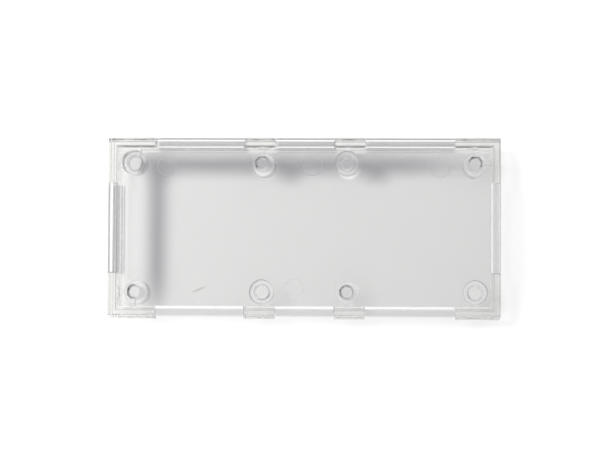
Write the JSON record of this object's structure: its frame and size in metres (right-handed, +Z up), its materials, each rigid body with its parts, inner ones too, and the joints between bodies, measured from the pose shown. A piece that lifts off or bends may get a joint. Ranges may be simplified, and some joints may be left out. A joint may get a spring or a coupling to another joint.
{
  "type": "clear snap-together project case",
  "caption": "Clear rectangular plastic case for a small circuit board, in two identical snap-together halves with tabbed walls, side slots, locating pins and sockets.",
  "frame": {"origin": "centre of the face that the closed case stands on", "axes": "+X along the length, +Y along the width, +Z up, the way the upper half lifts off"},
  "size_m": [0.115, 0.0538, 0.02],
  "materials": {
    "clear_plastic": "clear, glossy, moulded, colourless"
  },
  "bodies": {
    "lower_half": {"lower_half": "clear_plastic"},
    "upper_half": {"upper_half": "clear_plastic"}
  },
  "joints": [
    {"name": "upper_half_lift", "type": "slide", "parent": "lower_half", "child": "upper_half", "axis": [0, 0, 1], "range_m": [0, 0.03]}
  ]
}
